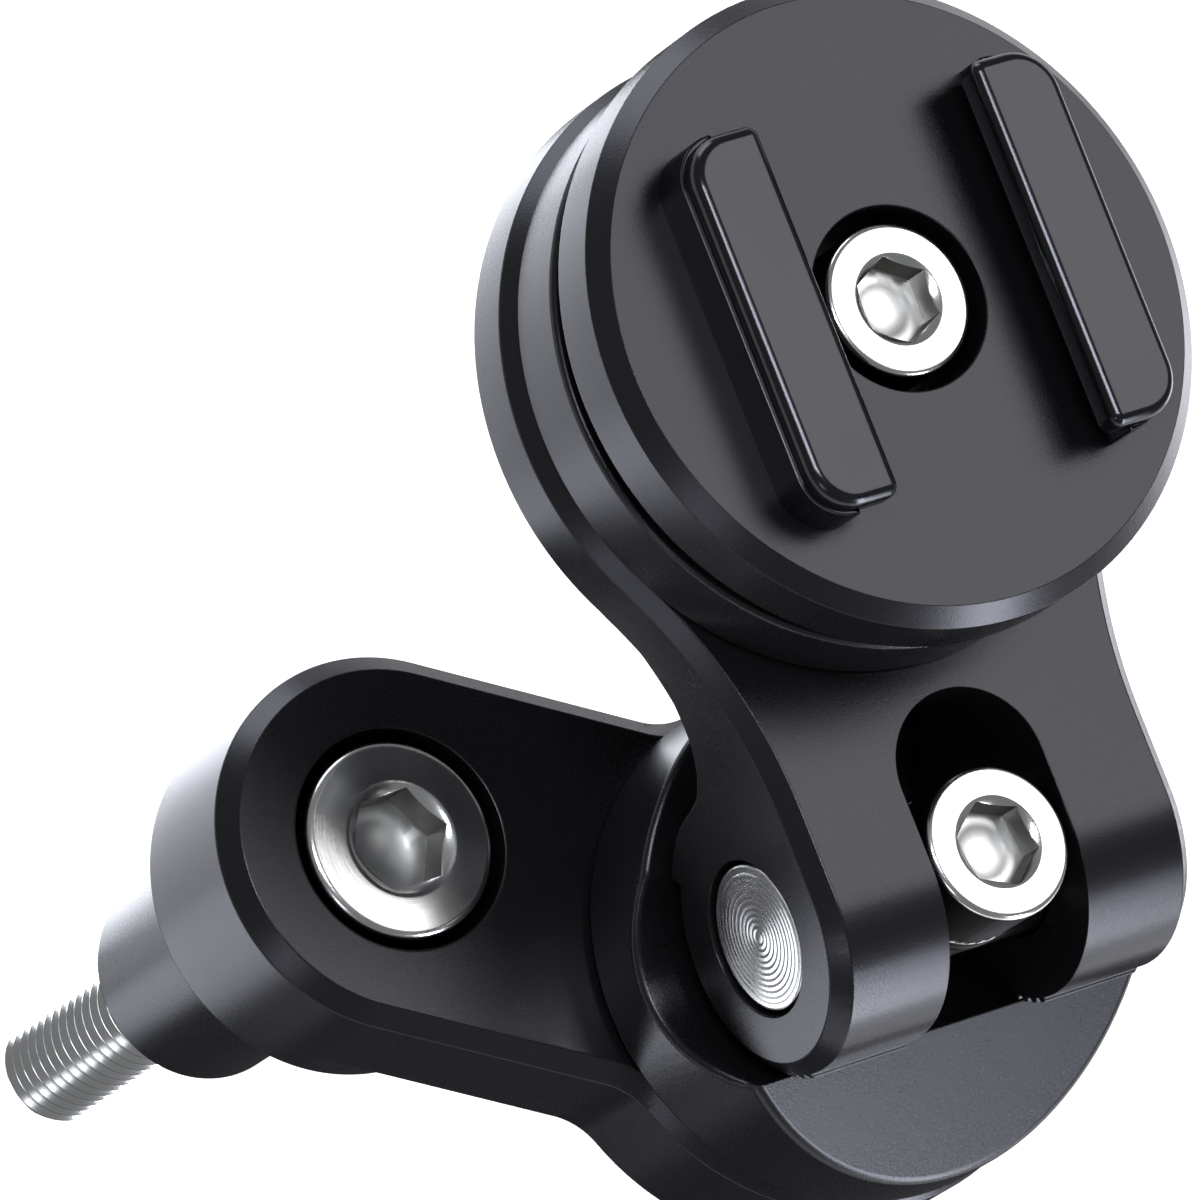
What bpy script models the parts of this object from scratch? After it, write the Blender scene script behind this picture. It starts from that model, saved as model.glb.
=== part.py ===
"""Bar-clamp phone mount: clamp arm, swivel base, tilting head bracket and a two-rail head disc.

Frame: metres, +Z up along the clamp bolt, +X from the clamp bolt to the swivel axis.
The origin is on the bolt's axis, at the seat under the spacer.
"""
import math

import bmesh
import bpy
from mathutils import Matrix, Vector

MM = 0.001
GAP = 0.3 * MM            # running gap between neighbouring pieces
STEPS = 40                # facets round a turned piece
FINE_STEPS = 56           # facets round the large discs
ARM_END_STEPS = 24        # facets round the arm's rounded end

# clamp bolt (M8 cap screw) and spacer
BOLT_R = 3.9 * MM
BOLT_HEAD_R = 6.5 * MM
BOLT_HEAD_H = 8.0 * MM
BOLT_SOCKET_R = 3.45 * MM
BOLT_REACH = 23.4 * MM    # thread below the spacer's seat
BOLT_END_CHAMFER = 0.8 * MM
SPACER_R = 7.0 * MM
SPACER_LENGTH = 19.8 * MM

# arm
PIVOT_X = 30.0 * MM       # clamp bolt axis to swivel axis
ARM_R = 12.3 * MM         # rounded end and boss
ARM_DISC_R = 17.2 * MM    # disc under the swivel base
ARM_FILLET_R = 5.0 * MM   # neck to disc
ARM_THICKNESS = 8.8 * MM
BOSS_DEPTH = 2.6 * MM     # boss below the plate
ARM_CHAMFER = 1.2 * MM
BOLT_RECESS_R = 7.2 * MM

# swivel (M6 cap screw, nut insert, washers)
SCREW_R = 3.0 * MM
SCREW_HEAD_R = 5.0 * MM
SCREW_HEAD_H = 6.0 * MM
SCREW_SOCKET_R = 2.85 * MM
SCREW_LENGTH = 25.0 * MM
NUT_R = 4.4 * MM
NUT_FLANGE_R = 6.5 * MM
NUT_FLANGE_T = 2.0 * MM
THRUST_RING_R = (7.5 * MM, 13.0 * MM)
THRUST_RING_T = 1.0 * MM
SEAT_WASHER_T = 1.0 * MM

# swivel base
BASE_R = 17.0 * MM
BASE_CHAMFER = 0.5 * MM
SWIVEL_DEG = 29.5         # pin axis against the arm, as built
PIN_HEIGHT = 15.0 * MM    # hinge pin axis above the arm's face
BASE_FRONT_DROP = 10.4 * MM   # front rim below the pin axis
BASE_BACK_DROP = 4.8 * MM     # back rim below the pin axis
BASE_BACK_FLAT = 15.0 * MM
BASE_BACK_FOOT = 6.6 * MM     # where the back slope leaves the cradle
BASE_FRONT_EDGE = 8.3 * MM    # where the front slope leaves the cradle

# hinge pin and knuckles
PIN_R = 4.75 * MM
PIN_RECESS = 0.3 * MM
KNUCKLE_R = 9.1 * MM
KNUCKLE_HALF = 13.75 * MM
KNUCKLE_CHAMFER = 1.05 * MM
SLOT_HALF = 5.3 * MM
SLOT_TOP = 10.1 * MM      # closed end of the slot from the pin axis
PIN_SEAT = 1.2 * MM       # flat on the pin, above its axis

# head: bracket plate, index disc, friction ring, head disc
HEAD_OFFSET = 32.4 * MM   # pin axis to head axis
HEAD_R = 21.0 * MM
PLATE_T = 4.7 * MM
NECK_ARC_R = 33.0 * MM    # concave side of the neck
NECK_ARC_V = 5.3 * MM     # its centre's distance from the pin axis
INDEX_R = 20.4 * MM
INDEX_T = 5.0 * MM
INDEX_CHAMFER = 0.45 * MM
RING_R = 18.6 * MM
RING_T = 1.5 * MM
DISC_T = 5.0 * MM
DISC_CHAMFER = 1.15 * MM
HUB_R = 10.0 * MM
HUB_DEPTH = 4.8 * MM      # hub below the head disc
HEAD_RECESS_R = 6.0 * MM
HEAD_SCREW_LENGTH = 10.0 * MM
INSERT_R = 4.4 * MM
INSERT_FLANGE_R = 6.3 * MM
INSERT_FLANGE_T = 1.2 * MM
DOWEL_R = 1.5 * MM
DOWEL_LENGTH = 6.0 * MM
DOWEL_OFFSET = 13.5 * MM

# rails
RAIL_INNER = 10.2 * MM    # inner wall from the head axis
RAIL_OUTER = 13.6 * MM
RAIL_LIP = 8.5 * MM       # lip's inner edge
RAIL_HALF_LENGTH = 12.5 * MM
RAIL_H = 4.35 * MM
RAIL_LIP_Z = 2.3 * MM     # lip's underside above the face
RAIL_CORNER_R = 3.0 * MM

# heights along Z
ARM_BOTTOM = SPACER_LENGTH + GAP + BOSS_DEPTH
ARM_TOP = ARM_BOTTOM + ARM_THICKNESS
BOLT_HEAD_TOP = ARM_TOP + 0.1 * MM
PIN_Z = ARM_TOP + PIN_HEIGHT
PLATE_TOP = KNUCKLE_R     # head pieces are measured from the pin axis
PLATE_BOTTOM = PLATE_TOP - PLATE_T
INDEX_BOTTOM = PLATE_TOP + GAP
INDEX_TOP = INDEX_BOTTOM + INDEX_T
RING_BOTTOM = INDEX_TOP + GAP
RING_TOP = RING_BOTTOM + RING_T
DISC_BOTTOM = RING_TOP + GAP
DISC_TOP = DISC_BOTTOM + DISC_T
SCREW_SEAT = PIN_SEAT + GAP + SEAT_WASHER_T + GAP


def clear_scene():
    for item in list(bpy.data.objects):
        bpy.data.objects.remove(item, do_unlink=True)


def metal(name, colour, roughness, metallic=1.0):
    material = bpy.data.materials.new(name)
    material.use_nodes = True
    shader = material.node_tree.nodes["Principled BSDF"]
    shader.inputs["Base Color"].default_value = (*colour, 1.0)
    shader.inputs["Roughness"].default_value = roughness
    shader.inputs["Metallic"].default_value = metallic
    return material


def make_object(name, bm, parent=None, material=None):
    bmesh.ops.remove_doubles(bm, verts=bm.verts, dist=1e-7)
    bmesh.ops.recalc_face_normals(bm, faces=bm.faces)
    mesh = bpy.data.meshes.new(name)
    bm.to_mesh(mesh)
    bm.free()
    mesh.shade_smooth()
    mesh.set_sharp_from_angle(angle=math.radians(30.0))
    item = bpy.data.objects.new(name, mesh)
    bpy.context.scene.collection.objects.link(item)
    if parent:
        item.parent = parent
    if material:
        mesh.materials.append(material)
    return item


def make_cutter(name, bm, parent=None):
    cutter = make_object(name, bm, parent)
    cutter.hide_render = True
    cutter.display_type = "WIRE"
    return cutter


def combine(item, other, operation):
    modifier = item.modifiers.new(other.name, "BOOLEAN")
    modifier.operation = operation
    modifier.solver = "EXACT"
    modifier.object = other


def turned(profile, steps=STEPS, axis=(0, 0, 1), centre=(0, 0, 0)):
    """Closed profile of (radius, height) spun about an axis through centre."""
    bm = bmesh.new()
    turn = Vector((0, 0, 1)).rotation_difference(Vector(axis)).to_matrix().to_4x4()
    place = Matrix.Translation(Vector(centre)) @ turn
    verts = [bm.verts.new(place @ Vector((r, 0, z))) for r, z in profile]
    edges = [bm.edges.new((verts[i - 1], verts[i])) for i in range(len(verts))]
    on_axis = [e for e in edges if all((place.inverted() @ v.co).x < 1e-9 for v in e.verts)]
    if on_axis:
        bm.edges.remove(on_axis[0])
    bmesh.ops.spin(bm, geom=verts + bm.edges[:], cent=centre, axis=Vector(axis), angle=2 * math.pi,
                   steps=steps, use_merge=True)
    bmesh.ops.remove_doubles(bm, verts=bm.verts, dist=1e-7)
    return bm


def extruded(points, low, high, plane="XY"):
    """Outline extruded from low to high: along Z for plane XY, along X for plane YZ."""
    bm = bmesh.new()
    points = [p for i, p in enumerate(points) if math.dist(p, points[i - 1]) > 1e-7]
    if plane == "XY":
        verts = [bm.verts.new((x, y, low)) for x, y in points]
        shift = Vector((0, 0, high - low))
    else:
        verts = [bm.verts.new((low, y, z)) for y, z in points]
        shift = Vector((high - low, 0, 0))
    face = bm.faces.new(verts)
    grown = bmesh.ops.extrude_face_region(bm, geom=[face])
    moved = [v for v in grown["geom"] if isinstance(v, bmesh.types.BMVert)]
    bmesh.ops.translate(bm, verts=moved, vec=shift)
    bmesh.ops.recalc_face_normals(bm, faces=bm.faces)
    return bm


def bevel_rim(bm, height, width):
    """Chamfer the outline's edges at one height."""
    rim = [e for e in bm.edges if all(abs(v.co.z - height) < 1e-7 for v in e.verts)]
    bmesh.ops.bevel(bm, geom=rim, offset=width, offset_type="OFFSET", segments=1, profile=0.5,
                    affect="EDGES", material=-1)
    return bm


def arc(centre, radius, start, end, count):
    """Points of an arc from start to end, in degrees, both ends included."""
    angles = [math.radians(start + (end - start) * i / count) for i in range(count + 1)]
    return [(centre[0] + radius * math.cos(a), centre[1] + radius * math.sin(a)) for a in angles]


def rounded_bar(x0, x1, half_length, outer_radius, sign):
    """Bar between x0 and x1 whose two corners on the x1 side are round."""
    corners = arc((x1 - outer_radius, half_length - outer_radius), outer_radius, 0, 90, 6)
    top = [(x0, half_length)]
    lower = [(x, -y) for x, y in reversed(corners)]
    points = lower + corners + top + [(x0, -half_length)]
    return [(sign * x, y) for x, y in points]


def cap_screw(name, material, radius, length, head_r, head_h, socket_r, seat_z, parent=None,
              centre=(0, 0), end_chamfer=0.5 * MM):
    """Cap screw along Z whose head sits on seat_z."""
    edge = 0.4 * MM
    profile = [(0, seat_z - length), (radius - end_chamfer, seat_z - length),
               (radius, seat_z - length + end_chamfer), (radius, seat_z), (head_r, seat_z),
               (head_r, seat_z + head_h - edge), (head_r - edge, seat_z + head_h), (0, seat_z + head_h)]
    screw = make_object(name, turned(profile), parent, material)
    screw.location = (*centre, 0)
    depth = head_h * 0.5
    hexagon = arc((0, 0), socket_r, 0, 300, 5)
    socket = make_cutter(name + "_socket_cut",
                         extruded(hexagon, seat_z + head_h - depth, seat_z + head_h + 1 * MM), parent)
    socket.location = (*centre, 0)
    combine(screw, socket, "DIFFERENCE")
    return screw


def hole(name, radius, low, high, parent=None, centre=(0, 0)):
    profile = [(0, low), (radius, low), (radius, high), (0, high)]
    cutter = make_cutter(name, turned(profile), parent)
    cutter.location = (*centre, 0)
    return cutter


def tube_profile(inner, outer, low, high, chamfer=0.0):
    if chamfer:
        return [(inner, low), (outer, low), (outer, high - chamfer), (outer - chamfer, high), (inner, high)]
    return [(inner, low), (outer, low), (outer, high), (inner, high)]


def arm_outline():
    """Rounded bolt end, straight sides, a fillet on each side and the round disc."""
    rise = ARM_R + ARM_FILLET_R
    span = ARM_DISC_R + ARM_FILLET_R
    run = math.sqrt(span * span - rise * rise)
    fillet = (PIVOT_X - run, rise)
    touch = math.degrees(math.atan2(rise, -run))
    left = arc((0, 0), ARM_R, 90, 270, ARM_END_STEPS)
    low_fillet = arc((fillet[0], -rise), ARM_FILLET_R, 90, 180 - touch, 5)
    disc = arc((PIVOT_X, 0), ARM_DISC_R, -touch, touch, 30)
    top_fillet = arc(fillet, ARM_FILLET_R, touch - 180, -90, 5)
    return left + low_fillet + disc + top_fillet


def build_clamp(steel, black):
    seat = BOLT_HEAD_TOP - BOLT_HEAD_H
    cap_screw("clamp_bolt", steel, BOLT_R, seat + BOLT_REACH, BOLT_HEAD_R, BOLT_HEAD_H, BOLT_SOCKET_R,
              seat, end_chamfer=BOLT_END_CHAMFER)
    make_object("spacer_sleeve", turned(tube_profile(BOLT_R + GAP, SPACER_R, 0, SPACER_LENGTH)),
                material=black)


def build_arm(black):
    arm = make_object("arm", bevel_rim(extruded(arm_outline(), ARM_BOTTOM, ARM_TOP), ARM_TOP, ARM_CHAMFER),
                      material=black)
    boss_profile = tube_profile(BOLT_R + GAP, ARM_R - 0.01 * MM, SPACER_LENGTH + GAP, ARM_TOP - 2 * ARM_CHAMFER)
    combine(arm, make_cutter("arm_boss", turned(boss_profile, 2 * ARM_END_STEPS)), "UNION")
    combine(arm, hole("arm_bolt_hole", BOLT_R + GAP, 0, ARM_TOP + 1 * MM), "DIFFERENCE")
    floor = BOLT_HEAD_TOP - BOLT_HEAD_H - GAP
    combine(arm, hole("arm_bolt_recess", BOLT_RECESS_R, floor, ARM_TOP + 1 * MM), "DIFFERENCE")
    pivot = (PIVOT_X, 0)
    combine(arm, hole("arm_nut_hole", NUT_R + GAP, 0, ARM_TOP + 1 * MM, centre=pivot), "DIFFERENCE")
    combine(arm, hole("arm_nut_recess", NUT_FLANGE_R + GAP, 0, ARM_BOTTOM + NUT_FLANGE_T + GAP, centre=pivot),
            "DIFFERENCE")
    return arm


def flanged_nut(name, material, bore, barrel_r, flange_r, flange_t, low, high, parent=None, centre=(0, 0)):
    profile = [(bore, low), (flange_r, low), (flange_r, low + flange_t), (barrel_r, low + flange_t),
               (barrel_r, high), (bore, high)]
    nut = make_object(name, turned(profile), parent, material)
    nut.location = (*centre, 0)
    return nut


def base_profile():
    """Section across the pin: front slope, round cradle, back slope, flat back rim."""
    cradle = KNUCKLE_R + GAP + 0.1 * MM
    start = -180 + math.degrees(math.acos(BASE_FRONT_EDGE / cradle))
    end = -math.degrees(math.acos(BASE_BACK_FOOT / cradle))
    bowl = arc((0, 0), cradle, start, end, 14)
    reach = BASE_R + 2 * MM
    slope = (bowl[0][1] + BASE_FRONT_DROP) / (BASE_R - BASE_FRONT_EDGE)
    front = (-reach, bowl[0][1] - slope * (reach - BASE_FRONT_EDGE))
    back = [(BASE_BACK_FLAT, -BASE_BACK_DROP), (reach, -BASE_BACK_DROP)]
    top = 2 * KNUCKLE_R
    return [front] + bowl + back + [(reach, top), (-reach, top)]


def build_swivel(steel, black, nylon):
    bottom = ARM_TOP + GAP
    pivot = (PIVOT_X, 0)
    flanged_nut("swivel_nut", steel, SCREW_R + GAP, NUT_R, NUT_FLANGE_R, NUT_FLANGE_T, ARM_BOTTOM,
                ARM_TOP - 1 * MM, centre=pivot)
    cap_screw("swivel_screw", steel, SCREW_R, SCREW_LENGTH, SCREW_HEAD_R, SCREW_HEAD_H, SCREW_SOCKET_R,
              PIN_Z + SCREW_SEAT, centre=pivot)
    axis = bpy.data.objects.new("swivel_axis", None)
    bpy.context.scene.collection.objects.link(axis)
    axis.location = (PIVOT_X, 0, PIN_Z)
    axis.rotation_euler = (0, 0, math.radians(SWIVEL_DEG))
    low = bottom - PIN_Z
    rim = [(SCREW_R + GAP, low), (BASE_R - BASE_CHAMFER, low), (BASE_R, low + BASE_CHAMFER),
           (BASE_R, KNUCKLE_R), (SCREW_R + GAP, KNUCKLE_R)]
    base = make_object("swivel_base", turned(rim, FINE_STEPS), axis, black)
    reach = BASE_R + 2 * MM
    combine(base, make_cutter("base_top_cut", extruded(base_profile(), -reach, reach, "YZ"), axis), "DIFFERENCE")
    recess = make_cutter("base_ring_recess",
                         turned(tube_profile(THRUST_RING_R[0] - GAP, THRUST_RING_R[1] + GAP, low - 1 * MM,
                                             low + THRUST_RING_T)), axis)
    combine(base, recess, "DIFFERENCE")
    ring = make_object("thrust_ring",
                       turned(tube_profile(*THRUST_RING_R, low, low + THRUST_RING_T - GAP)), axis, nylon)
    ring.location = (0, 0, 0)
    half = KNUCKLE_HALF - PIN_RECESS
    edge = 0.3 * MM
    pin_profile = [(0, -half), (PIN_R - edge, -half), (PIN_R, -half + edge), (PIN_R, half - edge),
                   (PIN_R - edge, half), (0, half)]
    pin = make_object("hinge_pin", turned(pin_profile, axis=(1, 0, 0)), axis, steel)
    combine(pin, hole("pin_cross_hole", SCREW_R + GAP, -2 * PIN_R, 2 * PIN_R, axis), "DIFFERENCE")
    seat = SCREW_HEAD_R + GAP
    flat = extruded([(-seat, -2 * PIN_R), (seat, -2 * PIN_R), (seat, 2 * PIN_R), (-seat, 2 * PIN_R)],
                    PIN_SEAT, 2 * PIN_R)
    combine(pin, make_cutter("pin_seat_cut", flat, axis), "DIFFERENCE")
    washer_low = PIN_SEAT + GAP
    make_object("seat_washer",
                turned(tube_profile(SCREW_R + GAP, SCREW_HEAD_R, washer_low, washer_low + SEAT_WASHER_T)),
                axis, steel)
    return axis


def bracket_outline():
    """Round plate, a concave arc on each side and straight knuckle sides, seen from the front."""
    centre_a = KNUCKLE_HALF + NECK_ARC_R
    drop = HEAD_OFFSET - NECK_ARC_V
    reach = math.hypot(centre_a, drop)
    turn = math.degrees(math.atan2(drop, centre_a))
    scale = HEAD_R / reach
    touch = (centre_a * scale, HEAD_OFFSET - drop * scale)
    end = math.degrees(math.atan2(touch[1] - NECK_ARC_V, touch[0] - centre_a))
    disc = arc((0, HEAD_OFFSET), HEAD_R, -turn, 180 + turn, 44)
    right = arc((centre_a, NECK_ARC_V), NECK_ARC_R, 180, end, 7)[:-1]
    left = [(-a, v) for a, v in reversed(right)]
    foot = -2 * KNUCKLE_R
    return disc + left + [(-KNUCKLE_HALF, foot), (KNUCKLE_HALF, foot)] + right


def bracket_profile():
    """Section across the pin: round knuckle, a rising underside and the flat plate."""
    under = [(8.6 * MM, -0.9 * MM), (10.3 * MM, 1.1 * MM), (12.3 * MM, 2.6 * MM), (15.0 * MM, 3.7 * MM),
             (18.5 * MM, PLATE_BOTTOM)]
    knuckle = arc((0, 0), KNUCKLE_R, 90, 326, 26)
    far = HEAD_OFFSET + HEAD_R + 2 * MM
    return knuckle + under + [(far, PLATE_BOTTOM), (far, PLATE_TOP)]


def knuckle_chamfer_cut(side):
    """Band that trims the round end edge of one knuckle."""
    bm = bmesh.new()
    outside = KNUCKLE_R + 1 * MM
    inner = KNUCKLE_R - KNUCKLE_CHAMFER
    slope = KNUCKLE_HALF - KNUCKLE_CHAMFER
    past = 1 * MM
    points = [(side * (slope - past), 0, outside), (side * (KNUCKLE_HALF + past), 0, inner - past),
              (side * (KNUCKLE_HALF + past), 0, outside)]
    face = bm.faces.new([bm.verts.new(p) for p in points])
    bmesh.ops.spin(bm, geom=[face], cent=(0, 0, 0), axis=(1, 0, 0), angle=math.radians(222), steps=24)
    return bm


def slot_outline():
    closed = arc((0, SLOT_TOP - SLOT_HALF), SLOT_HALF, 0, 180, 16)
    foot = -3 * KNUCKLE_R
    return closed + [(-SLOT_HALF, foot), (SLOT_HALF, foot)]


def build_head(axis, steel, black, nylon):
    plate = bevel_rim(extruded(bracket_outline(), -2 * KNUCKLE_R, PLATE_TOP), PLATE_TOP, KNUCKLE_CHAMFER)
    bracket = make_object("head_bracket", plate, axis, black)
    reach = HEAD_R + 2 * MM
    section = make_cutter("bracket_section", extruded(bracket_profile(), -reach, reach, "YZ"), axis)
    combine(bracket, section, "INTERSECT")
    for side in (-1, 1):
        combine(bracket, make_cutter(f"knuckle_chamfer_{side}", knuckle_chamfer_cut(side), axis), "DIFFERENCE")
    slot = make_cutter("bracket_slot", extruded(slot_outline(), -3 * KNUCKLE_R, 3 * KNUCKLE_R), axis)
    combine(bracket, slot, "DIFFERENCE")
    bore = PIN_R + GAP
    end = KNUCKLE_HALF + 2 * MM
    pin_bore = make_cutter("bracket_pin_bore", turned([(0, -end), (bore, -end), (bore, end), (0, end)],
                                                      axis=(1, 0, 0)), axis)
    combine(bracket, pin_bore, "DIFFERENCE")
    centre = (0, HEAD_OFFSET)
    combine(bracket, hole("bracket_insert_hole", INSERT_R + GAP, 0, 2 * KNUCKLE_R, axis, centre), "DIFFERENCE")
    combine(bracket, hole("bracket_insert_recess", INSERT_FLANGE_R + GAP, 0, PLATE_BOTTOM + INSERT_FLANGE_T + GAP,
                          axis, centre), "DIFFERENCE")
    dowel_low = INDEX_BOTTOM - DOWEL_LENGTH / 2
    for number, side in enumerate((-1, 1)):
        spot = (side * DOWEL_OFFSET, HEAD_OFFSET)
        combine(bracket, hole(f"bracket_dowel_hole_{number}", DOWEL_R + GAP, dowel_low - GAP, 2 * KNUCKLE_R, axis,
                              spot), "DIFFERENCE")
    flanged_nut("bracket_insert", steel, SCREW_R + GAP, INSERT_R, INSERT_FLANGE_R, INSERT_FLANGE_T,
                PLATE_BOTTOM, PLATE_TOP - GAP, axis, centre)

    index_profile = [(SCREW_R + GAP, INDEX_BOTTOM), (INDEX_R, INDEX_BOTTOM), (INDEX_R, INDEX_TOP - INDEX_CHAMFER),
                     (INDEX_R - INDEX_CHAMFER, INDEX_TOP), (HUB_R + GAP, INDEX_TOP),
                     (HUB_R + GAP, DISC_BOTTOM - HUB_DEPTH - GAP), (SCREW_R + GAP, DISC_BOTTOM - HUB_DEPTH - GAP)]
    index = make_object("index_disc", turned(index_profile, FINE_STEPS), axis, black)
    index.location = (*centre, 0)
    for number, side in enumerate((-1, 1)):
        spot = (side * DOWEL_OFFSET, HEAD_OFFSET)
        high = dowel_low + DOWEL_LENGTH
        combine(index, hole(f"index_dowel_hole_{number}", DOWEL_R + GAP, 0, high + GAP, axis, spot), "DIFFERENCE")
        dowel = make_object(f"dowel_{number}", turned([(0, dowel_low), (DOWEL_R, dowel_low), (DOWEL_R, high),
                                                       (0, high)], 16), axis, steel)
        dowel.location = (*spot, 0)
    ring = make_object("friction_ring", turned(tube_profile(HUB_R + GAP, RING_R, RING_BOTTOM, RING_TOP), FINE_STEPS),
                       axis, nylon)
    ring.location = (*centre, 0)
    build_head_disc(axis, centre, steel, black)


def build_head_disc(axis, centre, steel, black):
    hub_low = DISC_BOTTOM - HUB_DEPTH
    bore = SCREW_R + GAP
    profile = [(bore, hub_low), (HUB_R, hub_low), (HUB_R, DISC_BOTTOM), (HEAD_R, DISC_BOTTOM),
               (HEAD_R, DISC_TOP - DISC_CHAMFER), (HEAD_R - DISC_CHAMFER, DISC_TOP), (bore, DISC_TOP)]
    disc = make_object("head_disc", turned(profile, FINE_STEPS), axis, black)
    disc.location = (*centre, 0)
    for number, side in enumerate((-1, 1)):
        foot = extruded(rounded_bar(RAIL_INNER, RAIL_OUTER, RAIL_HALF_LENGTH, RAIL_CORNER_R, side),
                        DISC_TOP - 0.5 * MM, DISC_TOP + RAIL_LIP_Z + 0.5 * MM)
        lip = bevel_rim(extruded(rounded_bar(RAIL_LIP, RAIL_OUTER - 0.01 * MM, RAIL_HALF_LENGTH - 0.01 * MM,
                                             RAIL_CORNER_R, side),
                                 DISC_TOP + RAIL_LIP_Z, DISC_TOP + RAIL_H), DISC_TOP + RAIL_H, 0.5 * MM)
        for kind, shape in (("foot", foot), ("lip", lip)):
            piece = make_cutter(f"rail_{kind}_{number}", shape, axis)
            piece.location = (*centre, 0)
            combine(disc, piece, "UNION")
    seat = DISC_TOP - 0.15 * MM - SCREW_HEAD_H
    combine(disc, hole("disc_screw_recess", HEAD_RECESS_R, seat - GAP, DISC_TOP + 1 * MM, axis, centre),
            "DIFFERENCE")
    cap_screw("head_screw", steel, SCREW_R, HEAD_SCREW_LENGTH, SCREW_HEAD_R, SCREW_HEAD_H, SCREW_SOCKET_R, seat,
              axis, centre)


def main():
    clear_scene()
    black = metal("black_anodised", (0.05, 0.05, 0.055), 0.4)
    steel = metal("polished_steel", (0.75, 0.75, 0.74), 0.18)
    nylon = metal("black_nylon", (0.02, 0.02, 0.02), 0.6, 0.0)
    build_clamp(steel, black)
    build_arm(black)
    axis = build_swivel(steel, black, nylon)
    build_head(axis, steel, black, nylon)


main()
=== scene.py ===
import math

import bmesh
import bpy
from mathutils import Matrix, Vector


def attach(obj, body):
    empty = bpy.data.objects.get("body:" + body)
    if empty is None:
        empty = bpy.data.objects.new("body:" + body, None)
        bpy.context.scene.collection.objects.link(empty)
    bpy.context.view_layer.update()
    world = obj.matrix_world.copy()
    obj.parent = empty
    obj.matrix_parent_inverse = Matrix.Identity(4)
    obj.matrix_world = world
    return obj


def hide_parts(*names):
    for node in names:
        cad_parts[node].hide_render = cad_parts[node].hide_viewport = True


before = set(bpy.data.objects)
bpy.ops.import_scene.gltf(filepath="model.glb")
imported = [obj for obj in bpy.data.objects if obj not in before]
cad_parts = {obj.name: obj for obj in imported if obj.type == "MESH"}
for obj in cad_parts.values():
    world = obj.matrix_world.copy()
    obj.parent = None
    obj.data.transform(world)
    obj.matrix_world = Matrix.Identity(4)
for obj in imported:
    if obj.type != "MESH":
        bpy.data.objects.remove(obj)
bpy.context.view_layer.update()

# Shapes are drawn in millimetres and set to metres when a piece is finished.
MM = 0.001
SAME_POINT = 1e-4           # points closer than this are one
GAP = 0.3                   # running gap between neighbouring pieces
FINE = 128                  # facets round a large turned piece
SMALL = 96                  # facets round a small turned piece
MOUTH = 1.035               # a socket's conical mouth over its hexagon's corners

PIVOT_X = 30.0              # clamp bolt axis to swivel axis
ARM_BOTTOM = 22.7
ARM_TOP = 31.5
PIN_Z = 46.5
SWIVEL_DEG = 29.5           # pin axis against the arm, as built
HEAD_OFFSET = 32.4          # pin axis to head axis
HEAD_R = 21.0
KNUCKLE_R = 9.1
KNUCKLE_HALF = 13.75
PLATE_TOP = KNUCKLE_R       # head heights are measured from the pin axis
PLATE_BOTTOM = PLATE_TOP - 4.7
INDEX_LOW, INDEX_TOP = 9.4, 14.4
DISC_LOW, DISC_TOP = 16.5, 21.5
HUB_DROP = 4.8              # the head disc's hub reaches this far below the disc

BOLT_R, BOLT_HEAD_R, BOLT_HEAD_H = 3.9, 6.5, 8.0
BOLT_HOLE_R = 4.2
BOLT_SEAT = 23.6            # under the clamp bolt's head
SCREW_R, SCREW_HEAD_R, SCREW_HEAD_H = 3.0, 5.0, 6.0
SCREW_SOCKET = 5.75         # across corners
SCREW_HOLE_R = 3.3
SWIVEL_SEAT = 2.8           # under the swivel screw's head, from the pin axis
SCREW_SINK = 0.15           # head screw's face below the head disc's face
THROUGH_R = 4.7             # through the arm at the swivel and the bracket at the head
DOWEL_R, DOWEL_REACH = 1.8, 13.5
PIN_R, PIN_HALF = 4.75, KNUCKLE_HALF - 0.3
BASE_R = 17.0

PIN_TURN = Matrix.Rotation(math.radians(SWIVEL_DEG), 4, "Z")
PIN_PLACE = Matrix.Translation((PIVOT_X, 0, PIN_Z)) @ PIN_TURN
HEAD_PLACE = PIN_PLACE @ Matrix.Translation((0, HEAD_OFFSET, 0))
WORLD = Matrix.Identity(4)


# ---------------------------------------------------------------- outlines

def arc(centre, radius, start, end, count):
    """Points of an arc from start to end, in degrees, both ends included."""
    angles = [math.radians(start + (end - start) * i / count) for i in range(count + 1)]
    return [(centre[0] + radius * math.cos(a), centre[1] + radius * math.sin(a)) for a in angles]


def rounded(corners, steps=5):
    """Outline through (x, y) corners; a corner given as (x, y, radius) is rounded."""
    points = []
    for i, corner in enumerate(corners):
        here = Vector(corner[:2])
        if len(corner) == 2:
            points.append(tuple(here))
            continue
        before = (Vector(corners[i - 1][:2]) - here).normalized()
        after = (Vector(corners[(i + 1) % len(corners)][:2]) - here).normalized()
        half = before.angle(after) / 2
        centre = here + (before + after).normalized() * corner[2] / math.sin(half)
        reach = corner[2] / math.tan(half)
        first = here + before * reach - centre
        last = here + after * reach - centre
        turn = math.atan2(first.cross(last), first.dot(last))
        for k in range(steps + 1):
            spoke = Matrix.Rotation(turn * k / steps, 2) @ first
            points.append(tuple(centre + spoke))
    return points


# ---------------------------------------------------------------- shapes

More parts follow.
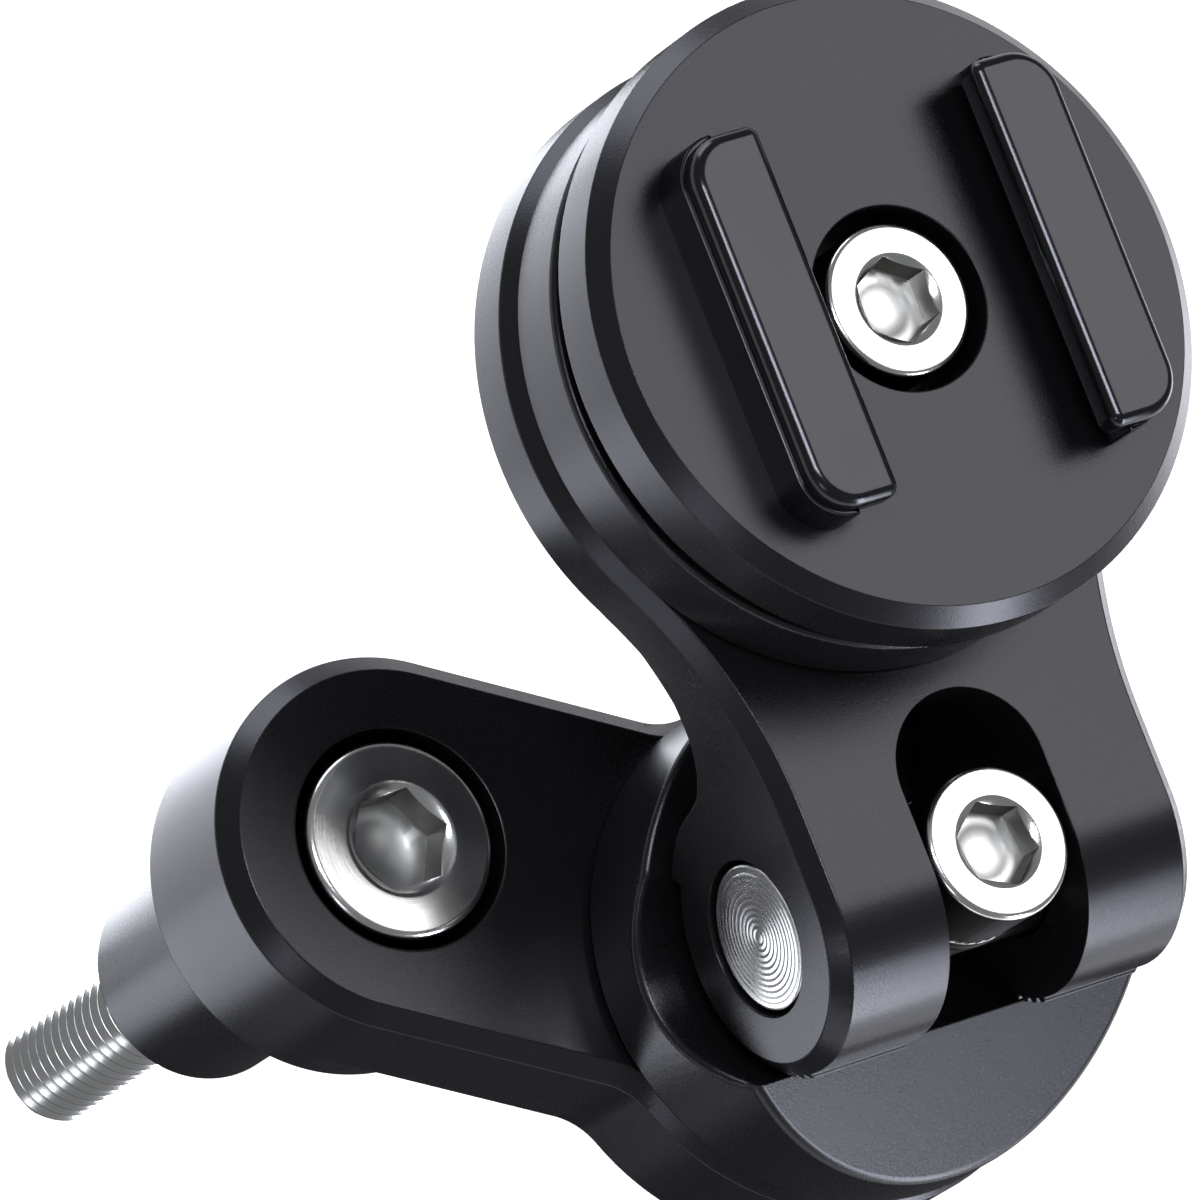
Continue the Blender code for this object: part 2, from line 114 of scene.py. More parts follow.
def turned(profile, steps=SMALL, axis=(0, 0, 1)):
    """Closed (radius, height) profile spun into a closed shape about an axis through the origin."""
    bm = bmesh.new()
    turn = Vector((0, 0, 1)).rotation_difference(Vector(axis)).to_matrix()
    points = [p for i, p in enumerate(profile) if math.dist(p, profile[i - 1]) > 1e-5]
    verts = [bm.verts.new(turn @ Vector((r, 0, z))) for r, z in points]
    for i in range(len(verts)):
        on_axis = points[i - 1][0] < 1e-6 and points[i][0] < 1e-6
        if not on_axis:
            bm.edges.new((verts[i - 1], verts[i]))
    bmesh.ops.spin(bm, geom=verts + bm.edges[:], cent=(0, 0, 0), axis=Vector(axis),
                   angle=2 * math.pi, steps=steps, use_merge=True)
    bmesh.ops.remove_doubles(bm, verts=bm.verts, dist=SAME_POINT)
    bmesh.ops.recalc_face_normals(bm, faces=bm.faces)
    return bm


def extruded(points, low, high, plane="XY"):
    """Outline extruded along Z, or along X where it is drawn in plane YZ."""
    bm = bmesh.new()
    points = [p for i, p in enumerate(points) if math.dist(p, points[i - 1]) > 1e-5]
    if plane == "XY":
        verts = [bm.verts.new((x, y, low)) for x, y in points]
        shift = Vector((0, 0, high - low))
    else:
        verts = [bm.verts.new((low, y, z)) for y, z in points]
        shift = Vector((high - low, 0, 0))
    grown = bmesh.ops.extrude_face_region(bm, geom=[bm.faces.new(verts)])
    moved = [v for v in grown["geom"] if isinstance(v, bmesh.types.BMVert)]
    bmesh.ops.translate(bm, verts=moved, vec=shift)
    bmesh.ops.recalc_face_normals(bm, faces=bm.faces)
    return bm


def bevel(bm, edges, width, segments):
    bmesh.ops.bevel(bm, geom=edges, offset=width, offset_type="OFFSET", segments=segments,
                    profile=0.5, affect="EDGES", material=-1, clamp_overlap=False)
    return bm


def bevel_rim(bm, height, width, segments=1):
    """Chamfer or round the outline's edges at one height."""
    rim = [e for e in bm.edges if all(abs(v.co.z - height) < SAME_POINT for v in e.verts)]
    return bevel(bm, rim, width, segments)


def break_edges(bm, width, segments=2, over=22.0, where=None):
    """Round each edge whose faces turn by more than an angle."""
    limit = math.radians(over)
    sharp = [e for e in bm.edges if len(e.link_faces) == 2 and e.calc_face_angle(0) > limit]
    if where:
        sharp = [e for e in sharp if where(sum((v.co for v in e.verts), Vector()) / 2)]
    return bevel(bm, sharp, width, segments)


def trial_object(bm, name):
    mesh = bpy.data.meshes.new(name)
    bm.to_mesh(mesh)
    bm.free()
    item = bpy.data.objects.new(name, mesh)
    bpy.context.scene.collection.objects.link(item)
    return item


def joined(bm, steps):
    """The shape after each (operation, other shape) step, as one closed shape."""
    item = trial_object(bm, "work_piece")
    tools = []
    for operation, other in steps:
        tool = trial_object(other, "work_tool")
        tools.append(tool)
        modifier = item.modifiers.new("combine", "BOOLEAN")
        modifier.operation = operation
        modifier.solver = "MANIFOLD"
        modifier.object = tool
    bpy.context.view_layer.update()
    evaluated = item.evaluated_get(bpy.context.evaluated_depsgraph_get())
    settled = bpy.data.meshes.new_from_object(evaluated)
    result = bmesh.new()
    result.from_mesh(settled)
    bpy.data.meshes.remove(settled)
    for done in [item] + tools:
        mesh = done.data
        bpy.data.objects.remove(done)
        bpy.data.meshes.remove(mesh)
    bmesh.ops.remove_doubles(result, verts=result.verts, dist=SAME_POINT)
    return result


def moved(bm, place):
    bm.transform(place)
    return bm


def finished(bm, name, body, finish, place=WORLD, replaces=(), smooth_under=40.0):
    """A piece with its place in its mesh, riding on its body."""
    bm.transform(Matrix.Scale(MM, 4) @ place)
    bmesh.ops.recalc_face_normals(bm, faces=bm.faces)
    mesh = bpy.data.meshes.new(name)
    bm.to_mesh(mesh)
    bm.free()
    mesh.shade_smooth()
    mesh.set_sharp_from_angle(angle=math.radians(smooth_under))
    mesh.materials.append(finish)
    item = bpy.data.objects.new(name, mesh)
    bpy.context.scene.collection.objects.link(item)
    weighted = item.modifiers.new("even_shading", "WEIGHTED_NORMAL")
    weighted.mode = "FACE_AREA"
    weighted.weight = 100
    weighted.keep_sharp = True
    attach(item, body)
    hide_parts(*replaces)
    return item


def hole(radius, low, high, flare=0.0, centre=(0, 0), steps=SMALL):
    """Cutter for a round hole; flare widens its mouth at height high."""
    past = 1.0
    profile = [(0, low), (radius, low)]
    if flare:
        profile += [(radius, high - flare), (radius + flare * 0.3, high - flare * 0.3),
                    (radius + flare, high), (radius + flare + past, high + past), (0, high + past)]
    else:
        profile += [(radius, high), (0, high)]
    return moved(turned(profile, steps), Matrix.Translation((*centre, 0)))


def dowel_holes(low, high, centre_y=0.0):
    """Cutters for the two dowels, one on each side of the head axis."""
    centres = [(side * DOWEL_REACH, centre_y) for side in (-1, 1)]
    return [("DIFFERENCE", hole(DOWEL_R, low, high, centre=spot, steps=32)) for spot in centres]


# ---------------------------------------------------------------- cap screws

def knurled(bm, radius, low, high, depth):
    """Straight knurl: every second column of the head's side stands back."""
    step = 2 * math.pi / SMALL
    for v in bm.verts:
        reach = math.hypot(v.co.x, v.co.y)
        column = round(math.atan2(v.co.y, v.co.x) / step)
        if abs(reach - radius) < 1e-3 and low - 1e-3 < v.co.z < high + 1e-3 and column % 2:
            v.co.x *= (radius - depth) / radius
            v.co.y *= (radius - depth) / radius


def socket_cutters(across_corners, top, depth, turn_deg):
    """Hexagon with a conical mouth and a dished floor."""
    corner_r = across_corners / 2
    hexagon = arc((0, 0), corner_r, turn_deg, turn_deg + 300, 5)
    wide = corner_r * MOUTH
    mouth = [(0, top - 0.7 * wide), (wide + 0.5, top + 0.35), (0, top + 0.35)]
    drill_r = corner_r * 0.82
    bottom = top - depth
    dish = [(0, 0.19), (0.35, 0.17), (0.7, 0.10), (1.0, 0.0)]
    floor = [(drill_r * reach, bottom - drill_r * sink) for reach, sink in dish]
    floor += [(drill_r, bottom + 0.4), (0, bottom + 0.4)]
    return [("DIFFERENCE", extruded(hexagon, bottom, top + 1.0)),
            ("DIFFERENCE", turned(mouth)),
            ("DIFFERENCE", turned(floor, 48))]


def cap_screw(shank_r, length, head_r, head_h, across_corners, seat, turn_deg, crown=0.0, foot=()):
    """Cap screw with its head on its seat; crown is how far the face falls from socket to rim."""
    top = seat + head_h
    edge = 0.07 * head_r
    wide = across_corners / 2 * MOUTH - 0.3
    crown_points = [(head_r - edge * 0.15, top - edge * 0.62 - crown),
                    (head_r - edge * 0.5, top - edge * 0.2 - crown),
                    (head_r - edge, top - crown),
                    (head_r - edge - 0.12, top - crown * 0.96)]
    for share in (0.75, 0.5, 0.25):
        radius = wide + (head_r - edge - 0.12 - wide) * share
        crown_points.append((radius, top - crown * share * share))
    tip = seat - length
    profile = list(foot) or [(0, tip), (shank_r - 0.6, tip), (shank_r, tip + 0.6)]
    profile += [(shank_r, seat), (head_r - 0.3, seat), (head_r, seat + 0.3), (head_r, seat + 0.5)]
    knurl_top = top - edge - crown - 0.5
    profile += [(head_r, knurl_top), (head_r, top - edge - crown)] + crown_points
    profile += [(wide, top), (0, top)]
    bm = turned(profile)
    knurled(bm, head_r, seat + 0.5, knurl_top, 0.16)
    return joined(bm, socket_cutters(across_corners, top, head_h * 0.36, turn_deg))


def thread(crest, root, pitch, low, high, chamfer):
    """Helical thread from low to high with a chamfered end, closed at both ends."""
    turns = math.ceil((high - low) / pitch) + 2
    facets = 48
    bm = bmesh.new()
    rise = [(root, 0), (root, 0.16), (crest - 0.06, 0.53), (crest, 0.60), (crest, 0.68),
            (crest - 0.06, 0.75), (root, 1.12), (root, pitch)]
    verts = [bm.verts.new((r, 0, low - pitch + z)) for r, z in rise]
    edges = [bm.edges.new((verts[i], verts[i + 1])) for i in range(len(verts) - 1)]
    bmesh.ops.spin(bm, geom=verts + edges, cent=(0, 0, 0), axis=(0, 0, 1),
                   dvec=(0, 0, pitch / facets), angle=2 * math.pi * turns, steps=facets * turns,
                   use_merge=False)
    bmesh.ops.remove_doubles(bm, verts=bm.verts, dist=SAME_POINT)
    for height, normal in ((low, (0, 0, -1)), (high, (0, 0, 1))):
        bmesh.ops.bisect_plane(bm, geom=bm.verts[:] + bm.edges[:] + bm.faces[:], dist=1e-5,
                               plane_co=(0, 0, height), plane_no=normal, clear_outer=True)
        open_edges = [e for e in bm.edges if e.is_boundary]
        rim = [e for e in open_edges if all(abs(v.co.z - height) < SAME_POINT for v in e.verts)]
        bmesh.ops.edgeloop_fill(bm, edges=rim)
    for v in bm.verts:
        reach = math.hypot(v.co.x, v.co.y)
        allowed = crest - chamfer + (v.co.z - low)
        if reach > allowed:
            v.co.x *= allowed / reach
            v.co.y *= allowed / reach
    return bm


def paint_head_shade_and_highlight(item, face_centre, head_r, head_h, finishes):
    """Give a head's socket walls, socket floor and knurl their own finishes, in that order: painted
    shade on the walls and knurl, a painted highlight on the floor.
    """
    for finish in finishes:
        item.data.materials.append(finish)
    depth = head_h - 0.6
    socket_r, knurl_r = head_r * 0.62, head_r - 0.25
    for face in item.data.polygons:
        away = face.center - Vector(face_centre) * MM
        reach = math.hypot(away.x, away.y) / MM
        in_head = away.z > -depth * MM
        upright = in_head and abs(face.normal.z) < 0.3
        # socket walls: darker steel, painted shade
        if upright and reach < socket_r:
            face.material_index = 1
        # knurl, down in its recess: near-black steel, painted shade
        if upright and reach > knurl_r:
            face.material_index = 3
        # socket floor: lighter steel, painted highlight
        if in_head and away.z < -depth * 0.25 * MM and face.normal.z > 0.5 and reach < socket_r:
            face.material_index = 2


def build_clamp_bolt(finish):
    bm = cap_screw(BOLT_R, 22.6, BOLT_HEAD_R, BOLT_HEAD_H, 6.95, BOLT_SEAT, 30.0, crown=0.16,
                   foot=[(0, 1.0), (BOLT_R, 1.0)])
    ridge = thread(crest=3.78, root=3.16, pitch=1.25, low=-23.4, high=1.4, chamfer=0.85)
    mesh = bpy.data.meshes.new("thread")
    ridge.to_mesh(mesh)
    ridge.free()
    bm.from_mesh(mesh)
    bpy.data.meshes.remove(mesh)
    return finished(bm, "clamp_bolt_threaded", "stud", finish,
                    replaces=["clamp_bolt"])


def build_small_screw(name, body, node, finish, place, length, seat, turn_deg):
    bm = cap_screw(SCREW_R, length, SCREW_HEAD_R, SCREW_HEAD_H, SCREW_SOCKET, seat,
                   turn_deg - SWIVEL_DEG)
    return finished(bm, name, body, finish, place, [node])


# ---------------------------------------------------------------- arm and spacer

def build_spacer(finish):
    inner, outer, length = BOLT_HOLE_R, 7.0, 19.8
    profile = rounded([(inner, 0), (outer, 0, 0.3), (outer, length, 0.2), (inner, length)], 3)
    finished(turned(profile), "spacer_tube", "stud", finish,
             replaces=["spacer_sleeve"])


def arm_outline():
    """Rounded bolt end, straight sides, a fillet on each side and the round disc."""
    end_r, disc_r, fillet_r = 12.3, 17.2, 5.0
    rise = end_r + fillet_r
    run = math.sqrt((disc_r + fillet_r) ** 2 - rise * rise)
    fillet = (PIVOT_X - run, rise)
    touch = math.degrees(math.atan2(rise, -run))
    left = arc((0, 0), end_r, 90, 270, 64)
    low_fillet = arc((fillet[0], -rise), fillet_r, 90, 180 - touch, 12)
    disc = arc((PIVOT_X, 0), disc_r, -touch, touch, 84)
    top_fillet = arc(fillet, fillet_r, touch - 180, -90, 12)
    return left + low_fillet + disc + top_fillet


def build_arm(finish):
    bm = bevel_rim(extruded(arm_outline(), ARM_BOTTOM, ARM_TOP), ARM_TOP, 1.2)
    break_edges(bm, 0.1)
    boss_r, boss_low, boss_high = 12.29, 20.1, 29.0
    head_recess_r, nut_recess_r = 7.2, 6.8
    boss = rounded([(BOLT_HOLE_R, boss_low), (boss_r, boss_low, 0.3), (boss_r, boss_high),
                    (BOLT_HOLE_R, boss_high)], 3)
    pivot = (PIVOT_X, 0)
    steps = [("UNION", turned(boss, FINE)),
             ("DIFFERENCE", hole(BOLT_HOLE_R, 10.0, 25.0)),
             ("DIFFERENCE", hole(head_recess_r, BOLT_SEAT - GAP, ARM_TOP, flare=0.22)),
             ("DIFFERENCE", hole(THROUGH_R, 10.0, 40.0, centre=pivot)),
             ("DIFFERENCE", hole(nut_recess_r, 10.0, ARM_BOTTOM + 2.3, centre=pivot))]
    finished(joined(bm, steps), "clamp_arm_body", "clamp_arm", finish,
             replaces=["arm"])


# ---------------------------------------------------------------- swivel base

def base_section():
    """Air over the base, across the pin: front slope, round cradle, back slope, flat back rim."""
    cradle = KNUCKLE_R + 0.4
    front_edge, back_foot = 8.3, 6.6
    front_low, back_low = -10.4, -4.8
    start = -180 + math.degrees(math.acos(front_edge / cradle))
    end = -math.degrees(math.acos(back_foot / cradle))
    bowl = arc((0, 0), cradle, start, end, 40)
    reach = BASE_R + 2
    slope = (bowl[0][1] - front_low) / (BASE_R - front_edge)
    front = (-reach, bowl[0][1] - slope * (reach - front_edge))
    top = 2 * KNUCKLE_R
    return [front] + bowl + [(15.0, back_low), (reach, back_low), (reach, top), (-reach, top)]


def build_base(finish):
    low = ARM_TOP + GAP - PIN_Z
    profile = rounded([(SCREW_HOLE_R, low), (BASE_R, low, 0.5), (BASE_R, KNUCKLE_R),
                       (SCREW_HOLE_R, KNUCKLE_R)], 3)
    inner, outer, depth = 7.2, 13.3, 1.0
    recess = [(inner, low - depth), (outer, low - depth), (outer, low + depth),
              (inner, low + depth)]
    steps = [("DIFFERENCE", extruded(base_section(), -19.0, 19.0, "YZ")),
             ("DIFFERENCE", turned(recess))]
    bm = joined(turned(profile, FINE), steps)

    def near_rim(p):
        return p.z > low + 1.5 and math.hypot(p.x, p.y) > 16.5

    def in_cradle(p):
        return p.z > low + 1.5 and 4.5 < math.hypot(p.x, p.y) < 15.5

    break_edges(bm, 0.55, 3, over=32.0, where=near_rim)
    break_edges(bm, 0.12, 2, over=32.0, where=in_cradle)
    finished(bm, "swivel_base_body", "swivel", finish, PIN_PLACE, ["swivel_base"])


def build_pin(finish, painted_light):
    """Pin with turned rings in its polished ends and a flat for the swivel screw's washer."""
    rings = [(0.2 + 0.19 * k, PIN_HALF - (0.02 if k % 2 else 0.0)) for k in range(23)]
    barrel = rounded([(0, -PIN_HALF), (PIN_R, -PIN_HALF, 0.2), (PIN_R, PIN_HALF, 0.2),
                      (0, PIN_HALF)], 3)
    profile = barrel[:1] + [(r, -h) for r, h in rings] + barrel[1:-1] + rings[::-1] + barrel[-1:]
    half, seat_z = 9.5, 1.2
    flat = [(-5.3, -half), (5.3, -half), (5.3, half), (-5.3, half)]
    steps = [("DIFFERENCE", hole(SCREW_HOLE_R, -half, half)),
             ("DIFFERENCE", extruded(flat, seat_z, half))]
    bm = joined(turned(profile, SMALL, (1, 0, 0)), steps)
    pin = finished(bm, "hinge_pin_turned", "swivel", finish, PIN_PLACE,
                   ["hinge_pin"], smooth_under=12.0)
    pin.data.materials.append(painted_light)
    back = (Matrix.Scale(MM, 4) @ PIN_PLACE).inverted()
    # The barrel between the polished ends, down in the knuckles and the slot, gets the near-black
    # steel: painted shade.
    for face in pin.data.polygons:
        if abs((back @ face.center).x) < PIN_HALF - 0.3:
            face.material_index = 1


def build_washer(finish):
    washer = rounded([(SCREW_HOLE_R, 1.5), (5.0, 1.5, 0.1), (5.0, 2.5, 0.15),
                      (SCREW_HOLE_R, 2.5)], 2)
    finished(turned(washer), "seat_washer_turned", "swivel", finish, PIN_PLACE,
             ["seat_washer"])


# ---------------------------------------------------------------- head bracket

def bracket_outline():
    """Round plate, a concave arc on each side and straight knuckle sides, seen from the front."""
    neck_r, neck_v = 33.0, 5.3
    centre_a = KNUCKLE_HALF + neck_r
    drop = HEAD_OFFSET - neck_v
    reach = math.hypot(centre_a, drop)
    turn = math.degrees(math.atan2(drop, centre_a))
    touch = (centre_a * HEAD_R / reach, HEAD_OFFSET - drop * HEAD_R / reach)
    end = math.degrees(math.atan2(touch[1] - neck_v, touch[0] - centre_a))
    disc = arc((0, HEAD_OFFSET), HEAD_R, -turn, 180 + turn, 110)
    right = arc((centre_a, neck_v), neck_r, 180, end, 24)[:-1]
    left = [(-a, v) for a, v in reversed(right)]
    foot = -2 * KNUCKLE_R
    return disc + left + [(-KNUCKLE_HALF, foot), (KNUCKLE_HALF, foot)] + right


def bracket_section():
    """Section across the pin: round toothed knuckle, a rising underside and the flat plate."""
    under = [(9.5, 0.1), (10.6, 1.4), (12.3, 2.6), (15.0, 3.7), (18.5, PLATE_BOTTOM)]
    first, step = 190, 6
    smooth = arc((0, 0), KNUCKLE_R, 90, first, 46)
    teeth = []
    for number in range(15):
        start = first + number * step
        for share, rise in ((0.06, 0.3), (0.5, 0.3), (0.7, 0.0), (1.0, 0.0)):
            teeth.append(arc((0, 0), KNUCKLE_R + rise, start + step * share, 360, 1)[0])
    far = HEAD_OFFSET + HEAD_R + 2
    teeth += arc((0, 0), KNUCKLE_R, 282, 352, 24)
    return smooth + teeth + under + [(far, PLATE_BOTTOM), (far, PLATE_TOP)]


def knuckle_trim(side):
    """Band that chamfers the round end edge of one knuckle."""
    width, outside, past = 1.05, KNUCKLE_R + 1.0, 1.0
    slope = KNUCKLE_HALF - width
    points = [(side * (slope - past), 0, outside),
              (side * (KNUCKLE_HALF + past), 0, KNUCKLE_R - width - past),
              (side * (KNUCKLE_HALF + past), 0, outside)]
    bm = bmesh.new()
    face = bm.faces.new([bm.verts.new(p) for p in points])
    bmesh.ops.spin(bm, geom=[face], cent=(0, 0, 0), axis=(1, 0, 0), angle=math.radians(222),
                   steps=74)
    bmesh.ops.remove_doubles(bm, verts=bm.verts, dist=SAME_POINT)
    bmesh.ops.recalc_face_normals(bm, faces=bm.faces)
    return bm


def build_bracket(finish):
    bm = bevel_rim(extruded(bracket_outline(), -2 * KNUCKLE_R, PLATE_TOP), PLATE_TOP, 1.05)
    slot_half, slot_top, past = 5.3, 10.1, 27.3
    slot = arc((0, slot_top - slot_half), slot_half, 0, 180, 40)
    slot += [(-slot_half, -past), (slot_half, -past)]
    end = KNUCKLE_HALF + 2
    bore = [(0, -end), (5.05, -end), (5.05, end), (0, end)]
    steps = [("INTERSECT", extruded(bracket_section(), -23.0, 23.0, "YZ"))]
    steps += [("DIFFERENCE", knuckle_trim(side)) for side in (-1, 1)]
    steps += [("DIFFERENCE", extruded(slot, -past, past)),
              ("DIFFERENCE", turned(bore, SMALL, (1, 0, 0))),
              ("DIFFERENCE", hole(THROUGH_R, 0, 18.2, centre=(0, HEAD_OFFSET))),
              ("DIFFERENCE", hole(6.6, 0, PLATE_BOTTOM + 1.5, centre=(0, HEAD_OFFSET)))]
    steps += dowel_holes(6.1, 18.2, HEAD_OFFSET)
    bm = joined(bm, steps)
    break_edges(bm, 0.1, 2, over=28.0)
    finished(bm, "head_bracket_body", "bracket", finish, PIN_PLACE,
             ["head_bracket"])


def build_index_disc(finish):
    rim_r, hub_r = 20.4, 10.3
    deep = DISC_LOW - HUB_DROP - GAP
    profile = rounded([(SCREW_HOLE_R, INDEX_LOW), (rim_r, INDEX_LOW, 0.15),
                       (rim_r, INDEX_TOP, 0.45), (hub_r, INDEX_TOP), (hub_r, deep),
                       (SCREW_HOLE_R, deep)], 4)
    bm = joined(turned(profile, FINE), dowel_holes(0, 12.7))
    finished(bm, "index_disc_turned", "bracket", finish, HEAD_PLACE,
             ["index_disc"])


# ---------------------------------------------------------------- head disc and rails

def rail_outline(inner, outer, half, outer_r, inner_r, side):
    """Outline of one rail's foot or lip, between two distances from the head's centre line."""
    corners = [(side * inner, -half, inner_r), (side * outer, -half, outer_r),
               (side * outer, half, outer_r), (side * inner, half, inner_r)]
    return rounded(corners, 10)


def build_head_disc(finish, rail_finish):
    """Disc with two hooked rails; each rail is a foot with a wider lip on it."""
    chamfer, hub_r = 1.15, 10.0
    hub_low = DISC_LOW - HUB_DROP
    profile = rounded([(SCREW_HOLE_R, hub_low), (hub_r, hub_low), (hub_r, DISC_LOW),
                       (HEAD_R, DISC_LOW, 0.12), (HEAD_R, DISC_TOP - chamfer, 0.14),
                       (HEAD_R - chamfer, DISC_TOP, 0.1), (SCREW_HOLE_R, DISC_TOP)], 3)
    foot_top, lip_low, lip_top = DISC_TOP + 3.0, DISC_TOP + 2.3, DISC_TOP + 4.35
    steps = []
    for side, inner, outer in ((-1, 7.6, 13.35), (1, 8.5, 14.2)):
        foot = extruded(rail_outline(10.2, 13.6, 12.6, 3.2, 0.12, side), DISC_TOP - 0.5, foot_top)
        lip = extruded(rail_outline(inner, outer, 12.3, 3.0, 0.8, side), lip_low, lip_top)
        bevel_rim(lip, lip_top, 0.8, 5)
        bevel_rim(lip, lip_low, 0.15, 2)
        bevel_rim(foot, foot_top, 0.2, 2)
        steps += [("UNION", foot), ("UNION", lip)]
    recess_floor = DISC_TOP - SCREW_SINK - SCREW_HEAD_H - GAP
    steps += [("DIFFERENCE", hole(6.0, recess_floor, DISC_TOP, flare=0.18))]
    bm = joined(turned(profile, FINE), steps)
    disc = finished(bm, "head_disc_with_rails", "head", finish, HEAD_PLACE,
                    ["head_disc"])
    disc.data.materials.append(rail_finish)
    face_height = (HEAD_PLACE.translation.z + DISC_TOP + 0.02) * MM
    for face in disc.data.polygons:
        if face.center.z > face_height:
            face.material_index = 1


# ---------------------------------------------------------------- finishes

class Number:
    """A number on its way through a finish's nodes."""

    def __init__(self, finish, socket):
        self.finish = finish
        self.socket = socket

    def maths(self, operation, *others):
        inputs = dict(enumerate((self,) + others))
        return self.finish.node("ShaderNodeMath", {"operation": operation}, inputs).number(0)

    def __add__(self, other):
        return self.maths("ADD", other)

    def __mul__(self, other):
        return self.maths("MULTIPLY", other)

    __radd__ = __add__
    __rmul__ = __mul__


class Node:
    def __init__(self, finish, made):
        self.finish = finish
        self.made = made

    def number(self, output):
        return Number(self.finish, self.made.outputs[output])


class Finish:
    """A material and the nodes that vary its surface."""

    def __init__(self, name):
        self.material = bpy.data.materials.new(name)
        self.material.use_nodes = True
        self.tree = self.material.node_tree
        self.shader = self.tree.nodes["Principled BSDF"]
        self.place = self.node("ShaderNodeTexCoord", {}, {}).made.outputs["Object"]

    def node(self, kind, settings, sockets):
        made = self.tree.nodes.new(kind)
        for key, value in settings.items():
            setattr(made, key, value)
        self.fill(made, sockets)
        return Node(self, made)

    def fill(self, made, sockets):
        for key, value in sockets.items():
            if isinstance(value, Number):
                value = value.socket
            if isinstance(value, bpy.types.NodeSocket):
                self.tree.links.new(value, made.inputs[key])
            else:
                made.inputs[key].default_value = value

    def noise(self, size_mm, detail=2.0, roughness=0.5):
        """Cloudy value from 0 to 1 whose patches are about this size."""
        sockets = {"Vector": self.place, "Scale": 1000.0 / size_mm, "Detail": detail,
                   "Roughness": roughness}
        return self.node("ShaderNodeTexNoise", {}, sockets).number("Fac")

    def mixed(self, share, first, second):
        """Colour between two, by a share."""
        sockets = {0: share, 6: (*first, 1.0), 7: (*second, 1.0)}
        return self.node("ShaderNodeMix", {"data_type": "RGBA"}, sockets).made.outputs[2]

    def bump(self, height, depth_mm, strength=1.0):
        sockets = {"Height": height, "Distance": depth_mm * MM, "Strength": strength}
        return self.node("ShaderNodeBump", {}, sockets).made.outputs["Normal"]

    def surface(self, **sockets):
        self.fill(self.shader, {key.replace("_", " "): value for key, value in sockets.items()})
        return self.material

    def radius_from(self, centre_mm, along):
        """Distance in millimetres from an axis through a point."""
        centre = tuple(c * MM for c in centre_mm)
        spot = self.vector("SUBTRACT", {0: self.place, 1: centre}, "Vector")
        out = self.vector("CROSS_PRODUCT", {0: spot, 1: along}, "Vector")
        return Number(self, self.vector("LENGTH", {0: out}, "Value")) * 1000.0

    def vector(self, operation, sockets, output):
        made = self.node("ShaderNodeVectorMath", {"operation": operation}, sockets)
        return made.made.outputs[output]

    def rings(self, radius, per_mm):
        """Uneven turning marks: a value that changes with the radius only."""
        sockets = {"W": radius, "Scale": per_mm, "Detail": 3.0, "Roughness": 0.6}
        return self.node("ShaderNodeTexNoise", {"noise_dimensions": "1D"}, sockets).number("Fac")


def black_anodised(name, roughness, grain_depth):
    finish = Finish(name)
    grain = finish.noise(0.15, 3.0, 0.6)
    cloud = finish.noise(14.0, 2.0)
    tone = finish.mixed(cloud, (0.034, 0.034, 0.038), (0.042, 0.042, 0.047))
    normal = finish.bump(grain, grain_depth, 0.6)
    return finish.surface(Base_Color=tone, Metallic=0.85, Normal=normal,
                          Roughness=roughness + 0.05 * cloud + 0.05 * grain)


def black_nylon():
    finish = Finish("black_nylon_moulded")
    grain = finish.noise(0.25, 3.0, 0.6)
    tone = finish.mixed(finish.noise(6.0), (0.010, 0.010, 0.011), (0.018, 0.018, 0.019))
    return finish.surface(Base_Color=tone, Roughness=0.5 + 0.2 * grain,
                          Normal=finish.bump(grain, 0.02, 0.6))


def polished_steel(name, centre_mm, along, ring_depth, roughness, rings_per_mm=9.0):
    finish = Finish(name)
    radius = finish.radius_from(centre_mm, along)
    marks = finish.rings(radius, rings_per_mm)
    haze = finish.noise(2.5, 3.0)
    tone = finish.mixed(haze, (0.70, 0.70, 0.69), (0.80, 0.80, 0.79))
    normal = finish.bump(marks, ring_depth, 1.0)
    return finish.surface(Base_Color=tone, Metallic=1.0, Normal=normal,
                          Roughness=roughness + 0.08 * haze)


# Streaked steel between a dark and a light tone; used as painted shade on socket walls, knurls, the
# seat washer and the pin's hidden barrel.
def painted_shade_steel(name, dark, light):
    finish = Finish(name)
    streaks = finish.noise(0.5, 3.0)
    tone = finish.mixed(streaks, dark, light)
    return finish.surface(Base_Color=tone, Metallic=1.0, Roughness=0.28 + 0.15 * streaks)


# Lighter copy of the screws' steel for socket floors: painted highlight.
def painted_highlight_steel():
    finish = Finish("socket_floor_painted_highlight")
    haze = finish.noise(1.2, 3.0)
    tone = finish.mixed(haze, (0.78, 0.78, 0.76), (0.90, 0.90, 0.89))
    return finish.surface(Base_Color=tone, Metallic=1.0, Roughness=0.26 + 0.12 * haze)


def pale_floor():
    finish = Finish("pale_floor")
    tone = finish.mixed(finish.noise(300.0), (0.90, 0.90, 0.90), (0.92, 0.92, 0.92))
    return finish.surface(Base_Color=tone, Roughness=0.9, Emission_Color=tone,
                          Emission_Strength=0.75)


def shade_cloth():
    finish = Finish("black_shade_cloth")
    tone = finish.mixed(finish.noise(5.0), (0.050, 0.050, 0.054), (0.070, 0.070, 0.075))
    return finish.surface(Base_Color=tone, Roughness=0.95)


# ---------------------------------------------------------------- studio

